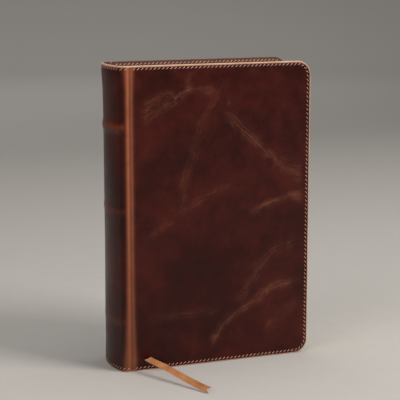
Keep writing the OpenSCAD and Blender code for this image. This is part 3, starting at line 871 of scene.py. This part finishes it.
def paperStack(name, low, high, finish, cornerR, foldR, rows, wave, seed):
    # The outline carried across the stack: pulled in by a half round at the fold and a small radius at the
    # cut edges, with a slow wave along the cut edges, and closed by a face on each side.
    line, normal = leafOutline(low, high, cornerR)
    v = np.linspace(0, 1, rows)
    half = (high[1] - low[1]) / 2
    atFold = ease(low[0] + 0.9, low[0], line[:, 0])[None, :]
    roundIn = 1 - np.sqrt(np.clip(1 - (2 * v - 1) ** 2, 0, 1))[:, None]
    foldIn = min(foldR, half) * roundIn * 0.9
    cutIn = block["cutR"] * np.clip(np.abs(2 * v - 1)[:, None] - 0.6, 0, 1) / 0.4
    slow = wave * (1 + np.sin(line[None, :, 1] / 37 + seed * 2.1 + 3 * v[:, None])
        * np.sin(line[None, :, 0] / 23 + seed)) / 2
    pull = foldIn * atFold + (cutIn + slow) * (1 - atFold)
    grid = np.empty((rows, len(line), 3))
    grid[..., 0] = line[None, :, 0] - normal[None, :, 0] * pull
    grid[..., 2] = line[None, :, 1] - normal[None, :, 1] * pull
    grid[..., 1] = (low[1] + (high[1] - low[1]) * v)[:, None]
    n = len(line)
    faces = [gridFaces(rows, n, wrapColumns=True), np.arange(n)[None, ::-1],
             (rows - 1) * n + np.arange(n)[None]]
    points = grid.reshape(-1, 3)
    return makePiece(name, points, outwards(points, faces), finish, sharp=35)


for number in range(1, 17):
    node = f"gathering_{number:02d}"
    low, high = boxOf(node)
    low[1] += block["gap"]
    high[1] -= block["gap"]
    stack = paperStack(f"gathering{number:02d}", low, high, pagePaper, block["cornerR"], block["foldR"],
        block["rows"],
                       block["wave"], number)
    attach(stack, "book")
    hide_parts(node)

# Heavy endpaper: laid cream stock with a slight tooth; the title and map leaves are the thin book paper.
endPaper = simpleFinish("laid endpaper", [(0.3, "#dfd2b2"), (0.5, "#e8dcc0"), (0.7, "#efe5ce")], 1.1,
    (0.15, 1.0, 1.4), {},
                        0.85, 0.03)
for node, body, finish, slotName in (("front_flyleaf", "front_flyleaf", endPaper, "endpaper"),
                                     ("back_flyleaf", "back_flyleaf", endPaper, "endpaper"),
                                     ("title_leaf", "title_leaf", pagePaper, "page_paper"),
                                     ("map_leaf", "map_leaf", pagePaper, "page_paper")):
    low, high = boxOf(node)
    leaf = paperStack(node.replace("_", " ").title().replace(" ", ""), low, high, finish, block["cornerR"],
        0.05, 3, 0.1, 3.3)
    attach(leaf, body)
    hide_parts(node)
print("pages done")


# Silk end band: two colours of thread wound over a cord, in close bright turns.
bandLook = {"turn": 1.0, "light": "#e4cfa4", "dark": "#7d3f24"}
woundSilk, tree, shader = newFinish("wound silk", {"Roughness": 0.45, "Sheen Weight": 0.3})
woundAlong = addNode(tree, "Attribute", attribute_name="wound", out="Fac")
twoTurns = mathNode(tree, "DIVIDE", woundAlong, 2 * bandLook["turn"])
part = mathNode(tree, "FRACT", twoTurns)
isDark = mathNode(tree, "GREATER_THAN", part, 0.5)
silk = mixNode(tree, isDark, asLinear(bandLook["light"]), asLinear(bandLook["dark"]))
silkFibre = noiseNode(tree, millimetres(tree), 4.0, 3.0)
silkTone = rangeNode(tree, silkFibre, (0.3, 0.7), (0.75, 1.1))
silkLit = addNode(tree, "VectorMath", {0: silk, "Scale": silkTone}, operation="SCALE")
dress(tree, shader, silkLit, silkFibre, 0.0001, 0.6)


def endBand(name, node):
    # A bead swept along the arc of the folds: its radius dips between the turns of thread.
    low, high = boxOf(node)
    beadR = (high[2] - low[2]) / 2
    radius = arcX - low[0] - beadR
    swing = np.linspace(-arcHalf, arcHalf, 361)
    turn = np.linspace(0, 2 * math.pi, 14, endpoint=False)
    travel = radius * (swing + arcHalf)
    ends = np.sqrt(np.clip(1 - np.clip(1 - np.minimum(travel, travel[-1] - travel) / beadR, 0, 1) ** 2,
        0.0025, 1))
    thick = (beadR * (0.94 + 0.06 * np.abs(np.sin(math.pi * travel / bandLook["turn"]))) * ends)[:, None]
    out = radius + thick * np.cos(turn)[None, :]
    points = np.stack([arcX - out * np.cos(swing)[:, None], out * np.sin(swing)[:, None],
                       (low[2] + high[2]) / 2 + thick * np.sin(turn)[None, :]], -1)
    n, m = points.shape[:2]
    faces = [gridFaces(n, m, wrapColumns=True), np.arange(m)[None, ::-1], ((n - 1) * m + np.arange(m))[None]]
    flat = points.reshape(-1, 3)
    lean = np.repeat(travel[:, None], m, 1) + 0.35 * np.sin(turn)[None, :]
    piece = makePiece(name, flat, outwards(flat, faces), woundSilk, {"wound": lean.ravel()}, sharp=60)
    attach(piece, "book")
    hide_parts(node)


endBand("headBand", "headband")
endBand("tailBand", "tailband")
print("end bands done")


# Mull: open-weave sized cotton, its threads 0.9 mm apart, stiff with glue.
finish, tree, shader = newFinish("sized mull", {"Roughness": 0.85, "Sheen Weight": 0.1})
mm = millimetres(tree)
threads = {"Vector": mm, "Scale": 0.35, "Distortion": 0.6, "Detail": 1.0}
weave, warp = (addNode(tree, "TexWave", threads, out="Fac", bands_direction=way) for way in "ZX")
cloth = mathNode(tree, "MAXIMUM", weave, warp)
clothTone = addNode(tree, "ValToRGB", {"Fac": cloth}, stops=[(0.2, "#a8977a"), (0.6, "#ddd2ba"),
    (1.0, "#efe8d8")])
dress(tree, shader, clothTone, cloth, 0.00012, 0.8)
low, high = boxOf("mull")
flapEnd = high[0] - grooveX
deep = low[1] - faceY
mullT = boxOf("gathering_01")[0][1] - low[1]
mullTravels = np.concatenate([np.linspace(-2 * halfWrap - flapEnd, -2 * halfWrap, 14)[:-1],
                              np.linspace(-2 * halfWrap, 0, 61), np.linspace(0, flapEnd, 14)[1:]])
mullTravel, mullZ = np.meshgrid(mullTravels, np.linspace(low[2], high[2], 60), indexing="ij")
sides = []
for depth in (deep, deep + mullT - 0.02):
    x, y, nx, ny = wrapSection(mullTravel, depth)
    sides.append(np.stack([x, y, mullZ], -1))
points, faces = closedShell(*sides)
mull = makePiece("mull_cloth", points, faces, finish)
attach(mull, "book")
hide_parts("mull")

# Kraft paper: unbleached fibre, warm brown with darker flecks.
kraft = simpleFinish("kraft paper", [(0.3, "#8a6a48"), (0.5, "#a5835c"), (0.7, "#bb9a72")], 1.6,
    (0.4, 1.0, 1.0), {}, 0.8, 0.03)
# Pressed board: grey-brown pulp, flecked and slightly rough at its cut edges.
pressedBoard = simpleFinish("pressed board", [(0.3, "#7d6f5a"), (0.5, "#9a8b72"), (0.7, "#b0a288")], 1.2,
    (1.0, 1.6, 1.0), {},
                            0.85, 0.06)
# Linen thread: waxed, plied, pale straw.
linen = simpleFinish("linen sewing thread", [(0.3, "#c4b48f"), (0.5, "#dccfae"), (0.7, "#ebe1c6")], 3.0,
    (1.0, 1.0, 1.0), {},
                     0.6, 0.08)
for finish, names in ((kraft, ("spine_hollow", "spine_liner")), (linen, ("sewing_thread",)),
                      (pressedBoard, ("front_board", "back_board", "spine_stiffener", *bandNodes))):
    for node in names:
        carried = frame["nodes"][node]
        for slotNumber in range(max(1, len(carried.material_slots))):
            if len(carried.material_slots) <= slotNumber:
                carried.data.materials.append(finish)
            carried.material_slots[slotNumber].material = finish
print("spine linings and carried parts done")


# The ribbon between the pages, over their head and down to the end band.
glue = {"in": 2.6, "y": -0.9, "bend": 2.2, "sunk": 0.12}  # its end and its bend, in mm
ribbonTop = ribbonHigh[2]
toGlue = np.array([ribbonLow[0] + glue["in"], glue["y"]]) - (ribbonX, ribbonY)
glueRun = np.hypot(*toGlue)
step = toGlue / glueRun
turnedAcross = np.array([step[1], -step[0]]) * (1 if step[1] > 0 else -1)
markerRoute = [((ribbonX, ribbonY, z), (1, 0, 0)) for z in np.linspace(ribbonLow[2],
    ribbonTop - glue["bend"], 8)]
markerRoute += [((ribbonX + 0.05 * step[0], ribbonY + 0.02, ribbonTop - 0.8), (1, 0, 0)),
                ((ribbonX + 1.0 * step[0], ribbonY + 1.0 * step[1], ribbonTop - glue["sunk"]),
    (*turnedAcross * 0.9 + (0.1, 0), 0))]
markerRoute += [((ribbonX + d * step[0], ribbonY + d * step[1], ribbonTop - glue["sunk"]),
    (*turnedAcross, 0))
                for d in np.linspace(5, glueRun - 0.4, 6)]
ribbonMarker, _, _ = ribbonPiece("ribbonMarker", markerRoute, 0.0)
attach(ribbonMarker, "book")
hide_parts("ribbon_marker")
print("ribbon marker done")


# Floor and light.
studio = {"floorR": 5.0, "riseFrom": 2.6, "riseTo": 1.7, "floor": "#bdb8b2", "world": 0.12, "around": 72}
radii = np.concatenate([np.linspace(0.02, studio["riseFrom"], 30),
    np.linspace(studio["riseFrom"], studio["floorR"], 30)[1:]])
heights = studio["riseTo"] * ease(studio["riseFrom"], studio["floorR"] + 1.5, radii) * 1000
around = np.linspace(0, 2 * math.pi, studio["around"], endpoint=False)
dish = np.stack([radii[:, None] * 1000 * np.cos(around), radii[:, None] * 1000 * np.sin(around),
                 np.repeat(heights[:, None], studio["around"], 1)], -1)
# Studio paper: matt, very pale warm grey, with a barely visible tooth.
paperSweep = simpleFinish("studio paper", [(0.3, "#bab5af"), (0.5, studio["floor"]), (0.7, "#c0bbb5")],
    0.4, (1.0, 1.0, 1.0),
                          {}, 0.9, 0.01)
floor = makePiece("floor", dish.reshape(-1, 3) - (0, 0, 0.02),
                  [gridFaces(*dish.shape[:2], wrapColumns=True)[:, ::-1],
    np.arange(studio["around"])[None]], paperSweep)


def softBox(name, place, aim, size, power, colour):
    lamp = bpy.data.lights.new(name, "AREA")
    lamp.shape, lamp.size, lamp.size_y = "RECTANGLE", size[0], size[1]
    lamp.energy, lamp.color = power, asLinear(colour)[:3]
    box = bpy.data.objects.new(name, lamp)
    box.location = place
    way = np.array(aim, float) - place
    box.rotation_euler = (math.atan2(math.hypot(way[0], way[1]), -way[2]), 0,
        math.atan2(way[1], way[0]) - math.pi / 2)
    bpy.context.scene.collection.objects.link(box)


softBox("keyBox", (0.95, -0.95, 1.2), (-0.02, 0, 0.12), (0.7, 0.8), 22, "#fffdfa")
softBox("leftBox", (-1.15, -0.75, 1.05), (-0.02, 0, 0.12), (0.9, 1.2), 9, "#fffdfa")
softBox("topBox", (0.15, 0.1, 1.9), (0, -0.1, 0), (1.4, 1.2), 15, "#ffffff")
softBox("backBox", (0.5, 1.7, 1.5), (0.3, 3.8, 0.7), (2.0, 1.0), 14, "#ffffff")
world = bpy.data.worlds.new("room")
world.use_nodes = True
world.node_tree.nodes["Background"].inputs["Color"].default_value = asLinear("#cfcdca")
world.node_tree.nodes["Background"].inputs["Strength"].default_value = studio["world"]
bpy.context.scene.world = world
bpy.context.scene.view_settings.view_transform = "Standard"
print("floor and lights done")
